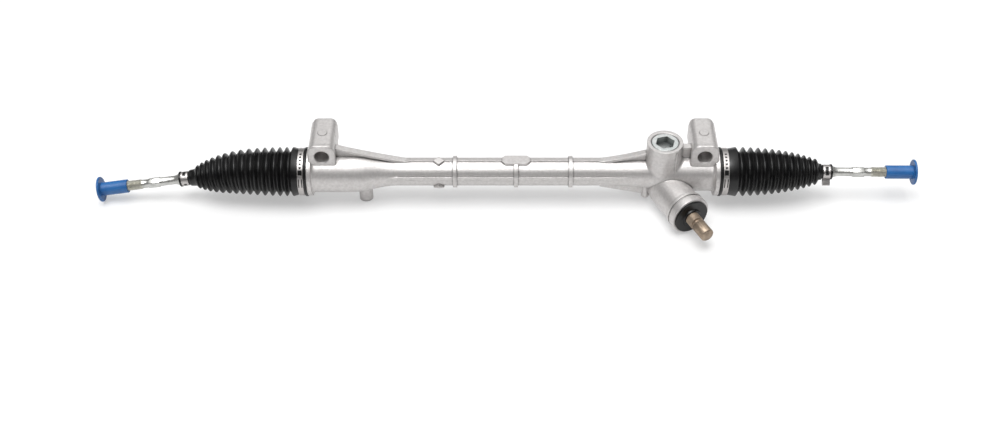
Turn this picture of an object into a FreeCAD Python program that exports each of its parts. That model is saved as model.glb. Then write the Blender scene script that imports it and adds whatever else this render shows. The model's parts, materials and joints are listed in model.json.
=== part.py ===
import FreeCAD
import Part
import math
import os

from FreeCAD import Vector

# A rack and pinion steering gear for a small car, in millimetres.
# X runs along the rack, Y points away from the pinion shaft's free end, Z is up.
# The origin lies midway between the axes of the two mounting sleeves.
# Every function below works about the rack's axis, and save() lowers the result by sleeve_height.

# Housing
shoulder_reach = 16.0
shoulder_width = 6.0
shoulder_radius = 33.0
shoulder_flare = 6.0
spigot_length = 13.0
spigot_radius = 30.0
tube_radius = 19.3
rack_passage_radius = 15.5
left_barrel_radius = 28.3
left_barrel_length = 49.5
left_taper_length = 70.0
right_barrel_radius = 26.5
right_neck_radius = 21.5
right_taper_length = 45.0
taper_ease = 0.45
end_pocket_radius = 23.0
ring_rib_places = (-80.0, 4.0, 79.0)
ring_rib_width = 5.5
ring_rib_height = 2.6
rib_root = 1.0
long_ribs = ((-6.0, 8.0), (80.0, 4.5), (184.0, 4.5), (260.0, 4.5))
long_rib_height = 1.2
cross_pad_length = 38.0
cross_pad_width = 16.4
cross_pad_height = 2.6
cross_pad_corner = 4.0
diamond_place = -102.0
diamond_width = 10.5
diamond_height = 3.0
diamond_angles = (6.0, 129.0)
cast_fillet = 4.0
seam_tolerance = 0.001

# Mounting sleeves
sleeve_place = 260.0
sleeve_height = 38.0
sleeve_near = -15.0
sleeve_far = 51.0
sleeve_radius = 17.9
sleeve_collar_step = 0.8
sleeve_low_corner = 7.5
sleeve_high_corner = 11.0
sleeve_collar_length = 7.0
sleeve_tip_step = 1.3
sleeve_tip_length = 6.0
sleeve_tip_round = 3.0
sleeve_step = 1.2
sleeve_bore_radius = 10.0
sleeve_mouth_chamfer = 1.0
sleeve_pad_radius = 6.2
sleeve_pad_rise = 0.9
sleeve_pad_place = 16.0
sleeve_web_near = 7.0
sleeve_web_far = 12.0
web_spread = 5.0

# Gussets from the sleeves and the boss along the tube
gusset_front = -3.5
gusset_width = 9.0
gusset_wall = 5.0
gusset_flange = 4.0
gusset_sink = 3.0
left_gusset_rise = 7.5
left_gusset_length = 105.0
right_gusset_height = 36.5
right_gusset_length = 71.0
bridge_gusset_rise = 9.0

# Feet and lugs under the tube
foot_inset = 55.0
foot_radius = 9.5
lug_inset = 22.0
lug_radius = 5.5
lug_depth = 38.0
lug_front = -6.0
keel_width = 6.0
keel_length = 64.0
keel_rise = 5.0

# Rack, pinion and their mesh
rack_radius = 13.0
rack_travel = 70.0
rack_shift = -11.0
stop_gap = 0.5
rack_module = 2.1
rack_tooth_count = 28
rack_flat_depth = 10.5
pressure_angle = 20.0
pinion_tooth_count = 8
pinion_angle = 26.0
profile_shift = 0.55
tip_shortening = 0.25
backlash = 0.14
root_clearance = 0.25
pinion_face = 30.0
pinion_sections = 11
pinion_inset = 54.0

# Pinion shaft and tower
tower_end = 78.0
tower_radius = 28.0
tower_neck_radius = 26.0
tower_root_radius = 24.0
tower_back = 42.0
tower_back_wall = 6.0
tower_root_end = 4.0
tower_root_taper = 10.0
collar_length = 17.0
collar_groove = 1.2
collar_groove_place = 4.0
collar_groove_width = 3.0
collar_edge = 1.0
pinion_cavity_radius = 14.5
pinion_cavity_end = 24.0
pinion_cavity_gap = 4.0
running_gap = 0.05
seat_gap = 0.02
journal_radius = 7.0
needle_outer_radius = 10.0
needle_length = 13.0
needle_wall = 1.0
needle_count = 12
needle_cup_gap = 0.5
needle_lip_gap = 0.5
needle_play = 0.2
bearing_bore_radius = 10.0
bearing_outer_radius = 21.0
bearing_width = 12.0
bearing_ball_radius = 3.2
bearing_ball_count = 8
bearing_race_wall = 4.0
circlip_width = 1.5
circlip_height = 1.9
plug_length = 16.0
plug_thread = 1.0
plug_face = 3.5
plug_slot = 4.0
plug_step = 2.0
plug_seat_gap = 0.5
face_gap = 0.1
seal_width = 7.0
seal_outer_radius = 15.5
seal_lip = 1.5
shaft_radius = 9.7
shaft_shoulder = 1.8
pinion_end = 1.0
needle_end_gap = 3.0
spline_radius = 9.5
spline_length = 22.5
spline_groove = 5.0
spline_groove_depth = 3.0
spline_chamfer = 1.2
shaft_reach = 43.0
pinion_step = 0.3
cover_radius = 24.5
cover_wall = 2.5
cover_clearance = 2.0
cover_hub_wall = 2.8
cover_hub_rise = 2.0
cover_skirt_length = 5.0
cover_skirt_wall = 1.6

# Rack guide under its plug
boss_radius = 24.5
boss_top = 53.0
boss_rib_angle = 35.0
boss_rib_width = 2.4
boss_rib_height = 0.9
boss_mouth_chamfer = 1.1
guide_radius = 18.0
guide_play = 0.4
guide_saddle_depth = 3.0
liner_wall = 0.8
liner_length = 28.0
liner_edge = 1.5
spring_pocket_radius = 9.5
spring_pocket_floor = 20.0
spring_radius = 9.2
spring_hole_radius = 4.6
spring_wall = 1.3
spring_count = 8
guide_plug_radius = 18.7
guide_plug_length = 17.0
guide_plug_sink = 0.6
guide_plug_chamfer = 0.9
hex_across_flats = 23.5
hex_depth = 10.0

# Rack bush
bush_length = 24.0
bush_wall = 2.2
bush_ring_width = 2.0
bush_step = 2.0
bush_split = 2.0
ring_split = 8.0
bush_end_gap = 0.2

# Ball joints and tie rods
ball_radius = 13.0
seat_wall = 1.4
seat_share = 0.75
ball_gap = 0.05
socket_radius = 20.0
socket_back = 18.0
socket_nose = 7.0
socket_nose_radius = 16.0
socket_flat = 36.0
flat_end = 2.0
socket_stud_radius = 7.0
socket_stud_length = 20.0
stud_gap = 0.1
ball_reach = 70.0
washer_width = 2.5
washer_radius = 21.0
tab_width = 12.0
tab_length = 7.0
tab_wall = 1.6
neck_radius = 5.0
neck_length = 7.0
shoulder_cone = 7.0
shank_radius = 6.0
shank_step = 1.0
boot_groove_radius = 6.5
boot_groove_place = 71.5
boot_groove_length = 14.5
flare_radius = 8.6
flare_rim = 1.5
flare_length = 8.0
rod_flat_place = 113.0
rod_flat_length = 18.0
rod_flat_width = 13.0
thread_start = 139.0
thread_end = 193.0
thread_radius = 7.0
thread_run_in = 1.0
thread_chamfer = 1.5
left_droop = 8.4
right_droop = 0.3
left_lean = -9.0
right_lean = 0.0

# Thread caps
cap_start = 160.0
cap_end = 200.5
cap_radius = 9.3
cap_gap = 0.3
cap_flange_radius = 17.5
cap_flange_width = 3.0
cap_edge = 0.7

# Boots and their bands
fold_counts = {-1: 15, 1: 13}
fold_depth = 6.3
fold_depth_small = 3.6
boot_wall = 1.8
boot_big_radius = 34.0
boot_small_radii = {-1: 16.3, 1: 18.2}
boot_taper_powers = {-1: 2.5, 1: 2.0}
boot_bend_reach = 20.0
boot_gap = 0.35
cuff_step = 0.3
skin_gap = 0.1
cuff_radius = 31.9
lip_width = 3.5
cuff_width = 9.2
first_fold_gap = 9.0
last_fold_reaches = {-1: 59.0, 1: 62.5}
small_cuff_radius = 9.0
small_band_inset = 1.5
small_band_width = 10.0
big_band_width = 7.6
band_wall = 0.9
band_ear_width = 9.0
band_ear_height = 4.0
band_ear_turn = 205.0
left_band_turn = 50.0
small_ear_width = 4.4
small_ear_height = 9.0
small_ear_turns = {-1: -70.0, 1: -41.0}
ear_inset = 1.0
fold_leads = {-1: 0.0, 1: 0.2}
fold_skews = {-1: 0.45, 1: 0.0}

# Derived sizes
shoulder_place = sleeve_place + shoulder_reach
housing_half = shoulder_place + shoulder_width + spigot_length
pinion_place = sleeve_place - pinion_inset
foot_place = foot_inset - sleeve_place
lug_place = pinion_place - lug_inset
first_fold_place = housing_half + first_fold_gap
small_band_place = boot_groove_place + small_band_inset
tooth_pitch = math.pi * rack_module
pinion_turn = math.radians(pinion_angle)
pitch_radius = rack_module * pinion_tooth_count / 2 / math.cos(pinion_turn)
rack_datum = rack_flat_depth - rack_module
pinion_depth = rack_datum + pitch_radius + profile_shift * rack_module
pinion_tip_radius = pitch_radius + (profile_shift + 1.0) * rack_module - tip_shortening
floor_depth = pinion_depth + tower_radius
guide_plug_bottom = boss_top - guide_plug_sink - guide_plug_length
guide_top = guide_plug_bottom - guide_play
ball_place = housing_half + ball_reach
rack_half = ball_place - socket_back - washer_width
end_pocket_depth = housing_half - rack_half + rack_travel + stop_gap
cup_radius = ball_radius + seat_wall + ball_gap

os.makedirs("parts", exist_ok=True)


def save(name, shape):
    """Lower a finished piece from the rack's axis to the row's origin and write it."""
    piece = shape.copy()
    piece.translate(Vector(0, 0, -sleeve_height))
    piece.exportStep("parts/" + name + ".step")


def lathe(points):
    """Turn a closed outline of (place, radius) points about the X axis."""
    corners = [Vector(place, 0, radius) for place, radius in points]
    face = Part.Face(Part.makePolygon(corners + [corners[0]]))
    return face.revolve(Vector(0, 0, 0), Vector(1, 0, 0), 360)


def bar(radius, start, end):
    """A round bar along X."""
    return Part.makeCylinder(radius, end - start, Vector(start, 0, 0), Vector(1, 0, 0))


def tube(outer, inner, start, end):
    """A plain tube along X."""
    return lathe([(start, inner), (start, outer), (end, outer), (end, inner)])


def slab(low, high):
    """A box from its lowest to its highest corner."""
    size = Vector(*high) - Vector(*low)
    return Part.makeBox(size.x, size.y, size.z, Vector(*low))


def prism(points, near, far):
    """A closed outline in X and Z, stretched along Y."""
    corners = [Vector(x, near, z) for x, z in points]
    face = Part.Face(Part.makePolygon(corners + [corners[0]]))
    return face.extrude(Vector(0, far - near, 0))


def join(shapes):
    """Fuse a list of shapes into one clean solid."""
    return shapes[0].fuse(shapes[1:]).removeSplitter()


def pinion_frame():
    """The pinion's own frame: Z along its shaft towards the free end, X up to the rack."""
    along = Vector(math.sin(pinion_turn), -math.cos(pinion_turn), 0)
    up = Vector(0, 0, 1)
    side = along.cross(up)
    matrix = FreeCAD.Matrix(
        up.x, side.x, along.x, pinion_place,
        up.y, side.y, along.y, 0,
        up.z, side.z, along.z, -pinion_depth,
        0, 0, 0, 1,
    )
    return FreeCAD.Placement(matrix)


def on_pinion(shape):
    """Move a shape from the pinion's own frame to the rack's."""
    placed = shape.copy()
    placed.Placement = pinion_frame().multiply(shape.Placement)
    return placed


def turned(points):
    """Turn a closed outline of (place, radius) points about the pinion's shaft."""
    corners = [Vector(radius, 0, place) for place, radius in points]
    face = Part.Face(Part.makePolygon(corners + [corners[0]]))
    return on_pinion(face.revolve(Vector(0, 0, 0), Vector(0, 0, 1), 360))


def turned_tube(outer, inner, start, end):
    """A plain tube about the pinion's shaft."""
    return turned([(start, inner), (start, outer), (end, outer), (end, inner)])


def eased(start, end):
    """An edge that leaves one point and reaches another along the tube, curving between."""
    pull = Vector((end.x - start.x) * taper_ease, 0, 0)
    curve = Part.BezierCurve()
    curve.setPoles([start, start + pull, end - pull, end])
    return curve.toShape()


def flare(rim, foot):
    """A hollow edge from a shoulder's rim down to the barrel."""
    curve = Part.BezierCurve()
    curve.setPoles([rim, Vector(rim.x, 0, foot.z), foot])
    return curve.toShape()


def chain(points):
    """Straight edges through a list of points."""
    return [Part.makeLine(a, b) for a, b in zip(points, points[1:])]


def shoulder_points(side):
    """The stepped outline of one end of the housing, from its axis to its shoulder's rim."""
    return [
        Vector(side * housing_half, 0, 0),
        Vector(side * housing_half, 0, spigot_radius),
        Vector(side * (shoulder_place + shoulder_width), 0, spigot_radius),
        Vector(side * (shoulder_place + shoulder_width), 0, shoulder_radius),
        Vector(side * shoulder_place, 0, shoulder_radius),
    ]


def barrel_outline():
    """The turned outline of the rack tube, from its left end to its right."""
    left_end = shoulder_points(-1)
    right_end = shoulder_points(1)
    left_foot = Vector(-shoulder_place + shoulder_flare, 0, left_barrel_radius)
    left_body = Vector(-shoulder_place + left_barrel_length, 0, left_barrel_radius)
    left_tube = Vector(left_body.x + left_taper_length, 0, tube_radius)
    neck = Vector(pinion_place - boss_radius, 0, right_neck_radius)
    right_tube = Vector(neck.x - right_taper_length, 0, tube_radius)
    right_body = Vector(pinion_place, 0, right_barrel_radius)
    right_foot = Vector(shoulder_place - shoulder_flare, 0, right_barrel_radius)
    edges = chain(left_end)
    edges.append(flare(left_end[-1], left_foot))
    edges.extend(chain([left_foot, left_body]))
    edges.append(eased(left_body, left_tube))
    edges.extend(chain([left_tube, right_tube]))
    edges.append(eased(right_tube, neck))
    edges.extend(chain([neck, right_body, right_foot]))
    edges.append(flare(right_end[-1], right_foot))
    edges.extend(chain(right_end))
    edges.extend(chain([right_end[0], left_end[0]]))
    return Part.Face(Part.Wire(Part.sortEdges(edges)[0]))


def plate(points, low, high):
    """A closed outline in X and Y, stretched along Z."""
    corners = [Vector(x, y, low) for x, y in points]
    face = Part.Face(Part.makePolygon(corners + [corners[0]]))
    return face.extrude(Vector(0, 0, high - low))


def tube_ribs():
    """Ring ribs, long cast ribs, the cross pad and the small diamond bosses of the middle tube."""
    root = rack_passage_radius + rib_root
    shapes = []
    for place in ring_rib_places:
        half = ring_rib_width / 2
        shapes.append(bar(tube_radius + ring_rib_height, place - half, place + half))
    start = -shoulder_place + left_barrel_length
    end = pinion_place - boss_radius
    for angle, width in long_ribs:
        rib = slab((start, -width / 2, root), (end, width / 2, tube_radius + long_rib_height))
        rib.rotate(Vector(0, 0, 0), Vector(1, 0, 0), angle)
        shapes.append(rib)
    middle = ring_rib_places[1]
    x = cross_pad_length / 2
    y = cross_pad_width / 2
    cut = cross_pad_corner
    outline = [
        (-x + cut, -y), (x - cut, -y), (x, -y + cut), (x, y - cut),
        (x - cut, y), (-x + cut, y), (-x, y - cut), (-x, -y + cut),
    ]
    pad = plate(outline, root, tube_radius + cross_pad_height)
    pad.translate(Vector(middle, 0, 0))
    shapes.append(pad)
    half = diamond_width / math.sqrt(2)
    for angle in diamond_angles:
        diamond = plate([(-half, 0), (0, -half), (half, 0), (0, half)], root, tube_radius + diamond_height)
        diamond.translate(Vector(diamond_place, 0, 0))
        diamond.rotate(Vector(0, 0, 0), Vector(1, 0, 0), angle)
        shapes.append(diamond)
    return shapes


def sleeve_section(place, inset):
    """One rounded square across a sleeve's axis, drawn in from its collar's outline by an inset."""
    arcs = []
    corners = 2 * [sleeve_low_corner] + 2 * [sleeve_high_corner]
    for index, corner in enumerate(corners):
        turn = math.pi + math.pi / 2 * index
        middle = turn + math.pi / 4
        radius = corner - inset
        reach = sleeve_radius + sleeve_collar_step - corner
        centre = Vector(math.copysign(reach, math.cos(middle)), place, math.copysign(reach, math.sin(middle)))
        points = []
        for angle in (turn, middle, turn + math.pi / 2):
            points.append(centre + Vector(radius * math.cos(angle), 0, radius * math.sin(angle)))
        arcs.append(Part.Arc(*points).toShape())
    edges = []
    for arc, after in zip(arcs, arcs[1:] + arcs[:1]):
        edges.append(arc)
        edges.append(Part.makeLine(arc.lastVertex().Point, after.firstVertex().Point))
    return Part.Wire(edges)


def sleeve_tube(side):
    """One mounting sleeve of rounded square section, with a collar in front and a rounded step behind."""
    rim = sleeve_far - sleeve_tip_length
    near = sleeve_near + sleeve_collar_length
    body = sleeve_collar_step
    tip = body + sleeve_tip_step
    sections = [
        (sleeve_near, sleeve_step), (sleeve_near + sleeve_step, 0.0), (near - sleeve_step, 0.0), (near, body),
        (rim - sleeve_step, body), (rim, tip), (sleeve_far - sleeve_tip_round, tip),
    ]
    for angle in (math.pi / 6, math.pi / 3, math.pi / 2):
        back = sleeve_tip_round * (1 - math.sin(angle))
        sections.append((sleeve_far - back, tip + sleeve_tip_round * (1 - math.cos(angle))))
    sleeve = Part.makeLoft([sleeve_section(*section) for section in sections], True, True)
    sleeve.translate(Vector(side * sleeve_place, 0, sleeve_height))
    return sleeve


def sleeve_web(side):
    """The cast web from one sleeve down to the barrel."""
    place = side * sleeve_place
    inner = place - side * (sleeve_radius - rib_root)
    outer = place + side * (sleeve_radius - rib_root)
    foot = min(abs(outer) + web_spread, shoulder_place) * side
    return prism(
        [(inner, sleeve_height), (inner, 0), (foot, 0), (outer, sleeve_height)],
        sleeve_near + sleeve_web_near, sleeve_far - sleeve_web_far,
    )


def sleeve_pad(side):
    """The small round pad on top of one sleeve."""
    return Part.makeCylinder(
        sleeve_pad_radius, sleeve_radius + sleeve_pad_rise - sleeve_bore_radius - rib_root,
        Vector(side * sleeve_place, sleeve_pad_place, sleeve_height + sleeve_bore_radius + rib_root),
        Vector(0, 0, 1),
    )


def bowed(start, end, sink):
    """A curved edge between two points that hangs below their straight line."""
    curve = Part.BezierCurve()
    curve.setPoles([start, (start + end) / 2 - Vector(0, 0, sink), end])
    return curve.toShape()


def gusset(start, end, start_height, end_height):
    """A cast web along the tube with a wider flange along its sloping top."""
    wall_front = gusset_front + (gusset_width - gusset_wall) / 2
    high_start = Vector(start, wall_front, start_height)
    high_end = Vector(end, wall_front, end_height)
    low_start = Vector(start, wall_front, 0)
    low_end = Vector(end, wall_front, 0)
    web_edges = [bowed(high_start, high_end, gusset_sink)]
    web_edges.extend(chain([high_end, low_end, low_start, high_start]))
    web = Part.Face(Part.Wire(web_edges)).extrude(Vector(0, gusset_wall, 0))
    forward = Vector(0, gusset_front - wall_front, 0)
    down = Vector(0, 0, -gusset_flange)
    flange_edges = [
        bowed(high_start + forward, high_end + forward, gusset_sink),
        Part.makeLine(high_end + forward, high_end + forward + down),
        bowed(high_end + forward + down, high_start + forward + down, gusset_sink),
        Part.makeLine(high_start + forward + down, high_start + forward),
    ]
    flange = Part.Face(Part.Wire(flange_edges)).extrude(Vector(0, gusset_width, 0))
    return [web, flange]


def yoke_boss():
    """The upright boss that holds the rack guide."""
    return Part.makeCylinder(boss_radius, boss_top, Vector(pinion_place, 0, 0), Vector(0, 0, 1))


def boss_rib():
    """The narrow cast rib down the front of the boss."""
    rib = slab(
        (-boss_rib_width / 2, -boss_radius - boss_rib_height, 0),
        (boss_rib_width / 2, -guide_radius - rib_root, boss_top - cast_fillet),
    )
    rib.rotate(Vector(0, 0, 0), Vector(0, 0, 1), boss_rib_angle)
    rib.translate(Vector(pinion_place, 0, 0))
    return rib


def tower_body():
    """The round tower about the pinion's shaft, closed at the back, with a machined collar."""
    collar = tower_end - collar_length
    round_off = tower_radius - tower_neck_radius
    return turned([
        (-tower_back, 0),
        (-tower_back, tower_root_radius - 2 * round_off),
        (-tower_back + 2 * round_off, tower_root_radius),
        (tower_root_end, tower_root_radius),
        (tower_root_end + tower_root_taper, tower_neck_radius),
        (collar - round_off, tower_neck_radius),
        (collar, tower_radius),
        (collar + collar_groove_place, tower_radius),
        (collar + collar_groove_place, tower_radius - collar_groove),
        (collar + collar_groove_place + collar_groove_width, tower_radius - collar_groove),
        (collar + collar_groove_place + collar_groove_width, tower_radius),
        (tower_end - collar_edge, tower_radius),
        (tower_end, tower_radius - collar_edge),
        (tower_end, 0),
    ])


def feet():
    """The foot under the left end, and the small lug and keel under the right."""
    foot = Part.makeCylinder(foot_radius, floor_depth, Vector(foot_place, 0, -floor_depth), Vector(0, 0, 1))
    lug = Part.makeCylinder(lug_radius, lug_depth, Vector(lug_place, lug_front, -lug_depth), Vector(0, 0, 1))
    keel = prism(
        [
            (lug_place - keel_length, 0), (lug_place - keel_length, -tube_radius),
            (lug_place, keel_rise - lug_depth), (lug_place, 0),
        ],
        lug_front - keel_width / 2, lug_front + keel_width / 2,
    )
    return [foot, lug, keel]


def plug_start():
    """Where the bearing plug begins along the pinion's shaft."""
    return pinion_cavity_end + bearing_width


def housing_hollows():
    """Everything that is bored out of the casting."""
    hollows = [bar(rack_passage_radius, -housing_half - 1, housing_half + 1)]
    for side in (-1, 1):
        inner = side * (housing_half - end_pocket_depth)
        outer = side * (housing_half + 1)
        hollows.append(bar(end_pocket_radius, min(inner, outer), max(inner, outer)))
        place = side * sleeve_place
        hollows.append(Part.makeCylinder(
            sleeve_bore_radius, sleeve_far - sleeve_near + 2,
            Vector(place, sleeve_near - 1, sleeve_height), Vector(0, 1, 0),
        ))
        hollows.append(Part.makeCone(
            sleeve_bore_radius + sleeve_mouth_chamfer, sleeve_bore_radius, sleeve_mouth_chamfer,
            Vector(place, sleeve_near, sleeve_height), Vector(0, 1, 0),
        ))
    inner = -(housing_half - end_pocket_depth)
    bush_end = inner + bush_length + bush_ring_width + bush_end_gap
    hollows.append(bar(bush_outer_radius() + seat_gap, inner - 1, bush_end))
    plug_bore = bearing_outer_radius + plug_thread
    cover_step = plug_start() + plug_length + cover_clearance
    hollows.append(turned([
        (-tower_back + tower_back_wall, 0),
        (-tower_back + tower_back_wall, needle_outer_radius + seat_gap),
        (-pinion_face / 2 - pinion_cavity_gap, needle_outer_radius + seat_gap),
        (-pinion_face / 2 - pinion_cavity_gap, pinion_cavity_radius),
        (pinion_cavity_end, pinion_cavity_radius),
        (pinion_cavity_end, bearing_outer_radius + seat_gap),
        (plug_start(), bearing_outer_radius + seat_gap),
        (plug_start(), plug_bore),
        (cover_step, plug_bore),
        (cover_step, max(cover_radius - cover_wall, plug_bore)),
        (tower_end + 1, max(cover_radius - cover_wall, plug_bore)),
        (tower_end + 1, 0),
    ]))
    up = Vector(0, 0, 1)
    hollows.append(Part.makeCylinder(guide_radius, boss_top, Vector(pinion_place, 0, 0), up))
    bore = guide_plug_radius + seat_gap
    hollows.append(Part.makeCylinder(
        bore, guide_plug_length + 1, Vector(pinion_place, 0, guide_plug_bottom), up,
    ))
    hollows.append(Part.makeCone(
        bore, bore + boss_mouth_chamfer, boss_mouth_chamfer,
        Vector(pinion_place, 0, boss_top - boss_mouth_chamfer), up,
    ))
    return hollows


def bush_outer_radius():
    """The rack bush's outer radius."""
    return rack_radius + running_gap + bush_wall + bush_step


def seam(body, first, second):
    """The edges of a fused body where the skins of two of its shapes meet."""
    edges = []
    for edge in body.Edges:
        middle = Part.Vertex(edge.valueAt((edge.FirstParameter + edge.LastParameter) / 2))
        gaps = [middle.distToShape(shape.Shells[0])[0] for shape in (first, second)]
        if max(gaps) < seam_tolerance:
            edges.append(edge)
    return edges


def soften(body, radius, pairs):
    """Round the inner corners between pairs of fused shapes."""
    edges = []
    for first, second in pairs:
        edges.extend(seam(body, first, second))
    return body.makeFillet(radius, edges)


def housing():
    """The cast housing, bored out."""
    barrel = barrel_outline().revolve(Vector(0, 0, 0), Vector(1, 0, 0), 360)
    boss = yoke_boss()
    tower = tower_body()
    body = soften(join([barrel, boss, tower]), cast_fillet, [(barrel, boss)])
    shapes = [body, boss_rib()]
    shapes.extend(tube_ribs())
    for side in (-1, 1):
        shapes.append(sleeve_web(side))
        shapes.append(sleeve_tube(side))
        shapes.append(sleeve_pad(side))
    low = tube_radius - seam_tolerance
    left_start = -sleeve_place + sleeve_radius - gusset_flange
    shapes.extend(gusset(left_start, left_start + left_gusset_length, sleeve_height + left_gusset_rise, low))
    right_start = pinion_place - boss_radius + gusset_flange
    shapes.extend(gusset(right_start, right_start - right_gusset_length, right_gusset_height, low))
    bridge_height = sleeve_height + bridge_gusset_rise
    shapes.extend(gusset(
        pinion_place + boss_radius - gusset_flange, sleeve_place - sleeve_radius + gusset_flange,
        bridge_height, bridge_height,
    ))
    shapes.extend(feet())
    body = join(shapes)
    for hollow in housing_hollows():
        body = body.cut(hollow)
    return body.removeSplitter()


def rack_bar():
    """The rack: a round bar milled flat below, with straight teeth, and drilled for the ball sockets."""
    start = -rack_half + rack_shift
    end = rack_half + rack_shift
    body = bar(rack_radius, start, end)
    for face, way in ((start, 1), (end, -1)):
        depth = socket_stud_length + 2
        low = min(face, face + way * depth)
        body = body.cut(bar(socket_stud_radius + stud_gap, low, low + depth))
    root_depth = rack_module * (1.0 + root_clearance)
    top = root_depth - rack_datum
    half_root = tooth_pitch / 4 - math.tan(math.radians(pressure_angle)) * root_depth
    half_tip = tooth_pitch / 4 + math.tan(math.radians(pressure_angle)) * rack_module
    ease = backlash / 2 / math.cos(math.radians(pressure_angle))
    first = pinion_place + (round(rack_shift / tooth_pitch) - rack_tooth_count // 2) * tooth_pitch
    outline = []
    for index in range(rack_tooth_count):
        middle = first + index * tooth_pitch
        outline.append((middle - half_tip - ease, -rack_flat_depth))
        outline.append((middle - half_root - ease, top))
        outline.append((middle + half_root + ease, top))
        outline.append((middle + half_tip + ease, -rack_flat_depth))
    below = -rack_radius - 2
    outline.append((outline[-1][0] + tooth_pitch / 4, -rack_flat_depth))
    outline.append((outline[-1][0], below))
    outline.append((outline[0][0] - tooth_pitch / 4, below))
    outline.append((outline[0][0] - tooth_pitch / 4, -rack_flat_depth))
    comb = prism(outline, -rack_radius - 1, rack_radius + 1)
    return body.cut(comb)


def involute_angle(radius, base):
    """The involute's polar angle at a radius."""
    ratio = math.acos(base / radius)
    return math.tan(ratio) - ratio


def pinion_outline(place):
    """One closed cross-section of the pinion's teeth, turned by the helix at that place along the shaft."""
    cross_angle = math.atan(math.tan(math.radians(pressure_angle)) / math.cos(pinion_turn))
    base = pitch_radius * math.cos(cross_angle)
    cross_module = rack_module / math.cos(pinion_turn)
    thick = math.pi * cross_module / 2 + 2 * profile_shift * rack_module * math.tan(cross_angle)
    half_angle = thick / 2 / pitch_radius + math.tan(cross_angle) - cross_angle
    root = pitch_radius + (profile_shift - 1.0 - root_clearance) * rack_module
    start = max(root, base + 0.02)
    twist = place * math.tan(pinion_turn) / pitch_radius
    step = 2 * math.pi / pinion_tooth_count

    def point(radius, angle):
        return Vector(radius * math.cos(angle), radius * math.sin(angle), place)

    edges = []
    for tooth in range(pinion_tooth_count):
        middle = twist + tooth * step
        radii = [start + (pinion_tip_radius - start) * share / 4 for share in range(5)]
        rising = [point(r, middle - half_angle + involute_angle(r, base)) for r in radii]
        falling = [point(r, middle + half_angle - involute_angle(r, base)) for r in reversed(radii)]
        foot_in = point(root, middle - half_angle)
        foot_out = point(root, middle + half_angle)
        next_foot = point(root, middle + step - half_angle)
        rise = Part.BSplineCurve()
        rise.interpolate([foot_in] + rising)
        fall = Part.BSplineCurve()
        fall.interpolate(falling + [foot_out])
        edges.append(rise.toShape())
        edges.append(Part.makeLine(rising[-1], falling[0]))
        edges.append(fall.toShape())
        edges.append(Part.makeLine(foot_out, next_foot))
    return Part.Wire(edges)


def pinion_shaft():
    """The pinion and its shaft in one piece, with journals, shoulders and a grooved, serrated end."""
    half = pinion_face / 2
    wires = []
    for index in range(pinion_sections):
        wires.append(pinion_outline(-half + pinion_face * index / (pinion_sections - 1)))
    teeth = on_pinion(Part.makeLoft(wires, True, True))
    root = pitch_radius + (profile_shift - 1.0 - root_clearance) * rack_module
    core = root - pinion_step
    shoulder = bearing_bore_radius + shaft_shoulder
    end = tower_end + shaft_reach
    spline_start = end - spline_length
    neck_start = spline_start - spline_groove
    neck = spline_radius - spline_groove_depth
    shaft = turned([
        (-tower_back + tower_back_wall + needle_end_gap, 0),
        (-tower_back + tower_back_wall + needle_end_gap, journal_radius),
        (-half - pinion_end, journal_radius),
        (-half - pinion_end, core),
        (half + pinion_end, core),
        (half + pinion_end + shaft_shoulder, shoulder),
        (pinion_cavity_end, shoulder),
        (pinion_cavity_end, bearing_bore_radius),
        (plug_start() + circlip_width, bearing_bore_radius),
        (plug_start() + circlip_width, shaft_radius),
        (neck_start, shaft_radius),
        (neck_start + spline_chamfer, neck),
        (spline_start - spline_chamfer, neck),
        (spline_start, spline_radius),
        (end - spline_chamfer, spline_radius),
        (end, spline_radius - spline_chamfer),
        (end, 0),
    ])
    return teeth.fuse(shaft).removeSplitter()


def needle_bearing():
    """A drawn cup with its needles, each one separate."""
    start = -tower_back + tower_back_wall + needle_end_gap + needle_cup_gap
    end = start + needle_length
    inner = needle_outer_radius - needle_wall
    lip = journal_radius + needle_lip_gap
    cup = turned([
        (start, lip), (start, needle_outer_radius), (end, needle_outer_radius), (end, lip),
        (end - needle_wall, lip), (end - needle_wall, inner), (start + needle_wall, inner),
        (start + needle_wall, lip),
    ])
    gap = (inner - journal_radius) / 2
    radius = gap - running_gap
    pieces = [cup]
    for index in range(needle_count):
        angle = 2 * math.pi * index / needle_count
        reach = journal_radius + gap
        needle = Part.makeCylinder(
            radius, needle_length - 2 * (needle_wall + needle_play),
            Vector(reach * math.cos(angle), reach * math.sin(angle), start + needle_wall + needle_play),
            Vector(0, 0, 1),
        )
        pieces.append(on_pinion(needle))
    return Part.makeCompound(pieces)


def bearing_ring(plain, tracked):
    """One ring of the ball bearing, from its plain radius to the one that holds the balls' track."""
    middle = (bearing_bore_radius + bearing_outer_radius) / 2
    track = bearing_ball_radius + running_gap
    centre = pinion_cavity_end + bearing_width / 2
    half = math.sqrt(track ** 2 - (middle - tracked) ** 2)
    deepest = middle - track if tracked < middle else middle + track
    start = pinion_cavity_end + seat_gap
    end = plug_start() - seat_gap
    corners = [
        Vector(tracked, 0, centre + half),
        Vector(tracked, 0, end),
        Vector(plain, 0, end),
        Vector(plain, 0, start),
        Vector(tracked, 0, start),
        Vector(tracked, 0, centre - half),
    ]
    edges = [Part.makeLine(a, b) for a, b in zip(corners, corners[1:])]
    edges.append(Part.Arc(corners[-1], Vector(deepest, 0, centre), corners[0]).toShape())
    face = Part.Face(Part.Wire(edges))
    return on_pinion(face.revolve(Vector(0, 0, 0), Vector(0, 0, 1), 360))


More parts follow.
